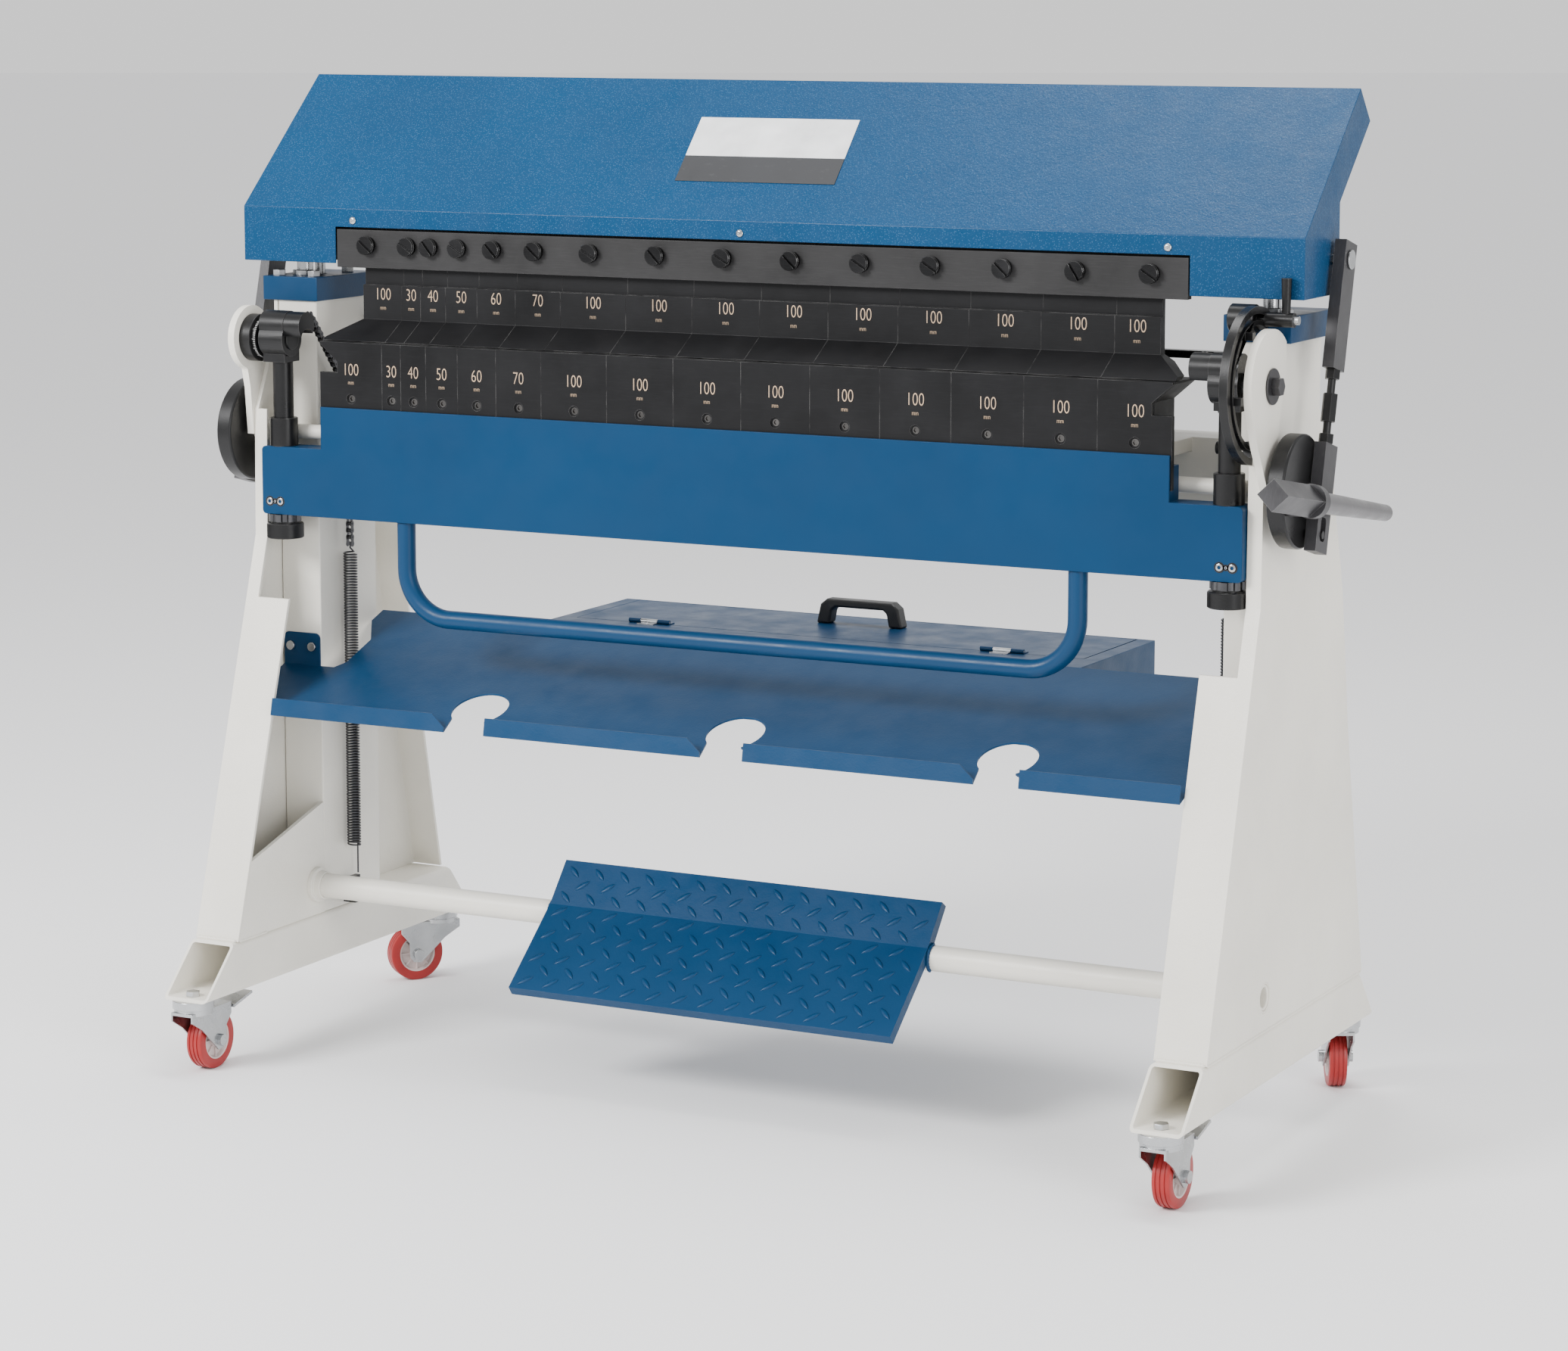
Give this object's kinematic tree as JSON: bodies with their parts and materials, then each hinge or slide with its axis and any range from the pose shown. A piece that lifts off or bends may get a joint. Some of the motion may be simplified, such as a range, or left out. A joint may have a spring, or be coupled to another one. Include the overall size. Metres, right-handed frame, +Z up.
{
  "type": "sheet metal brake",
  "caption": "Segmented sheet metal folding brake on a wheeled stand, with a swinging leaf, a lifting clamping beam, a hand lever and a foot pedal.",
  "frame": {"origin": "centre of the footprint on the floor", "axes": "+Z up, +X along the fold line towards the hand lever's side, the working side faces -Y"},
  "size_m": [1.637, 0.7246, 1.339],
  "materials": {
    "cream_paint": "satin powder coat",
    "blue_paint": "semi-gloss paint",
    "leaf_blue": "semi-gloss paint",
    "blackened_steel": "blackened, slightly oily",
    "zinc_steel": "bright zinc plating",
    "red_tread": "matte polyurethane",
    "black_plastic": "matte"
  },
  "bodies": {
    "stand": {"base_tubes": "cream_paint", "side_panels": "cream_paint", "columns": "cream_paint", "head_plates": "cream_paint", "gusset_plates": "cream_paint", "column_caps": "blue_paint", "guide_posts": "zinc_steel", "bed_beam": "cream_paint", "bed_segments": "blackened_steel", "rear_tie_bar": "blackened_steel", "pivot_bolts": "blackened_steel", "scale_drum": "blackened_steel", "angle_arc": "blackened_steel", "shaft_bushes": "cream_paint", "chain_fittings": "blackened_steel", "springs": "zinc_steel", "chains": "zinc_steel", "tool_tray": "blue_paint", "tray_screws": "zinc_steel", "storage_box": "blue_paint", "box_hinges": "zinc_steel", "caster_mounts": "zinc_steel"},
    "clamping_beam": {"hood": "blue_paint", "hood_screws": "zinc_steel", "upper_beam": "blackened_steel", "guide_bushes": "zinc_steel", "link_pins": "zinc_steel", "lift_rods": "zinc_steel", "upper_segments": "blackened_steel", "clamp_knobs": "blackened_steel", "clamp_strip": "blackened_steel"},
    "left_link": {"link_left": "blackened_steel"},
    "right_link": {"link_right": "blackened_steel"},
    "crank": {"crank_shaft": "cream_paint", "crank_discs": "blackened_steel", "hand_lever": "blackened_steel"},
    "pedal": {"pedal_shaft": "cream_paint", "pedal_plate": "blue_paint", "pedal_arms": "zinc_steel"},
    "swing": {"swing_arms": "blackened_steel", "spindles": "blackened_steel"},
    "leaf": {"leaf_beam": "leaf_blue", "leaf_segments": "blackened_steel", "pull_handle": "leaf_blue", "leaf_end_fittings": "blackened_steel"},
    "left_knob": {"knurled_knob_left": "blackened_steel"},
    "right_knob": {"knurled_knob_right": "blackened_steel"},
    "stop_roller": {"angle_stop": "blackened_steel"},
    "lid": {"box_lid": "blue_paint", "lid_handle": "black_plastic"},
    "fork_front_left": {"caster_fork_front_left": "zinc_steel"},
    "wheel_front_left": {"caster_wheel_front_left": "red_tread"},
    "brake_front_left": {"brake_pedal_front_left": "zinc_steel"},
    "fork_front_right": {"caster_fork_front_right": "zinc_steel"},
    "wheel_front_right": {"caster_wheel_front_right": "red_tread"},
    "brake_front_right": {"brake_pedal_front_right": "zinc_steel"},
    "fork_rear_left": {"caster_fork_rear_left": "zinc_steel"},
    "wheel_rear_left": {"caster_wheel_rear_left": "red_tread"},
    "fork_rear_right": {"caster_fork_rear_right": "zinc_steel"},
    "wheel_rear_right": {"caster_wheel_rear_right": "red_tread"}
  },
  "joints": [
    {"name": "beam_lift", "type": "slide", "parent": "stand", "child": "clamping_beam", "axis": [0, 0, 1], "range_m": [0, 0.04]},
    {"name": "crank_turn", "type": "hinge", "parent": "stand", "child": "crank", "pos_m": [-0.0175, -0.08133, 0.853], "axis": [1, 0, 0], "range_deg": [0, 58.31]},
    {"name": "left_link_swing", "type": "hinge", "parent": "clamping_beam", "child": "left_link", "pos_m": [-0.808, 0.02167, 1.131], "axis": [1, 0, 0], "range_deg": [0, 6.37]},
    {"name": "right_link_swing", "type": "hinge", "parent": "clamping_beam", "child": "right_link", "pos_m": [0.773, 0.02167, 1.131], "axis": [1, 0, 0], "range_deg": [0, 6.37]},
    {"name": "pedal_turn", "type": "hinge", "parent": "stand", "child": "pedal", "pos_m": [-0.0175, -0.08433, 0.216], "axis": [1, 0, 0], "range_deg": [0, 27]},
    {"name": "leaf_swing", "type": "hinge", "parent": "stand", "child": "swing", "pos_m": [-0.0175, -0.11833, 0.984], "axis": [-1, 0, 0], "range_deg": [0, 135], "deforming": ["springs", "chains"]},
    {"name": "leaf_height", "type": "slide", "parent": "swing", "child": "leaf", "axis": [0, 0, -1], "range_m": [0, 0.006]},
    {"name": "left_knob_turn", "type": "hinge", "parent": "leaf", "child": "left_knob", "pos_m": [-0.7125, -0.11233, 0.721], "axis": [0, 0, 1], "continuous": true},
    {"name": "right_knob_turn", "type": "hinge", "parent": "leaf", "child": "right_knob", "pos_m": [0.6775, -0.11233, 0.721], "axis": [0, 0, 1], "continuous": true},
    {"name": "stop_setting", "type": "hinge", "parent": "stand", "child": "stop_roller", "pos_m": [0.6855, -0.11833, 0.984], "axis": [1, 0, 0], "range_deg": [0, 35]},
    {"name": "lid_hinge", "type": "hinge", "parent": "stand", "child": "lid", "pos_m": [-0.0175, 0.15617, 0.5842], "axis": [1, 0, 0], "range_deg": [0, 100]},
    {"name": "front_left_swivel", "type": "hinge", "parent": "stand", "child": "fork_front_left", "pos_m": [-0.7235, -0.33433, 0.088], "axis": [0, 0, 1], "continuous": true},
    {"name": "front_left_wheel_spin", "type": "hinge", "parent": "fork_front_left", "child": "wheel_front_left", "pos_m": [-0.7235, -0.29633, 0.04], "axis": [-1, 0, 0], "continuous": true},
    {"name": "front_left_brake", "type": "hinge", "parent": "fork_front_left", "child": "brake_front_left", "pos_m": [-0.7235, -0.27633, 0.08], "axis": [-1, 0, 0], "range_deg": [0, 12]},
    {"name": "front_right_swivel", "type": "hinge", "parent": "stand", "child": "fork_front_right", "pos_m": [0.6885, -0.33433, 0.088], "axis": [0, 0, 1], "continuous": true},
    {"name": "front_right_wheel_spin", "type": "hinge", "parent": "fork_front_right", "child": "wheel_front_right", "pos_m": [0.6885, -0.29633, 0.04], "axis": [-1, 0, 0], "continuous": true},
    {"name": "front_right_brake", "type": "hinge", "parent": "fork_front_right", "child": "brake_front_right", "pos_m": [0.6885, -0.27633, 0.08], "axis": [-1, 0, 0], "range_deg": [0, 12]},
    {"name": "rear_left_swivel", "type": "hinge", "parent": "stand", "child": "fork_rear_left", "pos_m": [-0.7235, 0.28867, 0.088], "axis": [0, 0, 1], "continuous": true},
    {"name": "rear_left_wheel_spin", "type": "hinge", "parent": "fork_rear_left", "child": "wheel_rear_left", "pos_m": [-0.747, 0.25881, 0.04], "axis": [0.7859, -0.6184, 0], "continuous": true},
    {"name": "rear_right_swivel", "type": "hinge", "parent": "stand", "child": "fork_rear_right", "pos_m": [0.6885, 0.28867, 0.088], "axis": [0, 0, 1], "continuous": true},
    {"name": "rear_right_wheel_spin", "type": "hinge", "parent": "fork_rear_right", "child": "wheel_rear_right", "pos_m": [0.67137, 0.32259, 0.04], "axis": [-0.8926, -0.4509, 0], "continuous": true}
  ],
  "couplings": [
    {"joint": "crank_turn", "follows": "beam_lift", "rad_per_m": 25.398},
    {"joint": "left_link_swing", "follows": "beam_lift", "rad_per_m": 2.7363},
    {"joint": "right_link_swing", "follows": "beam_lift", "rad_per_m": 2.7363},
    {"joint": "pedal_turn", "follows": "beam_lift", "rad_per_m": 11.735},
    {"joint": "left_knob_turn", "follows": "leaf_height", "rad_per_m": 1570.8},
    {"joint": "right_knob_turn", "follows": "leaf_height", "rad_per_m": 1570.8}
  ]
}
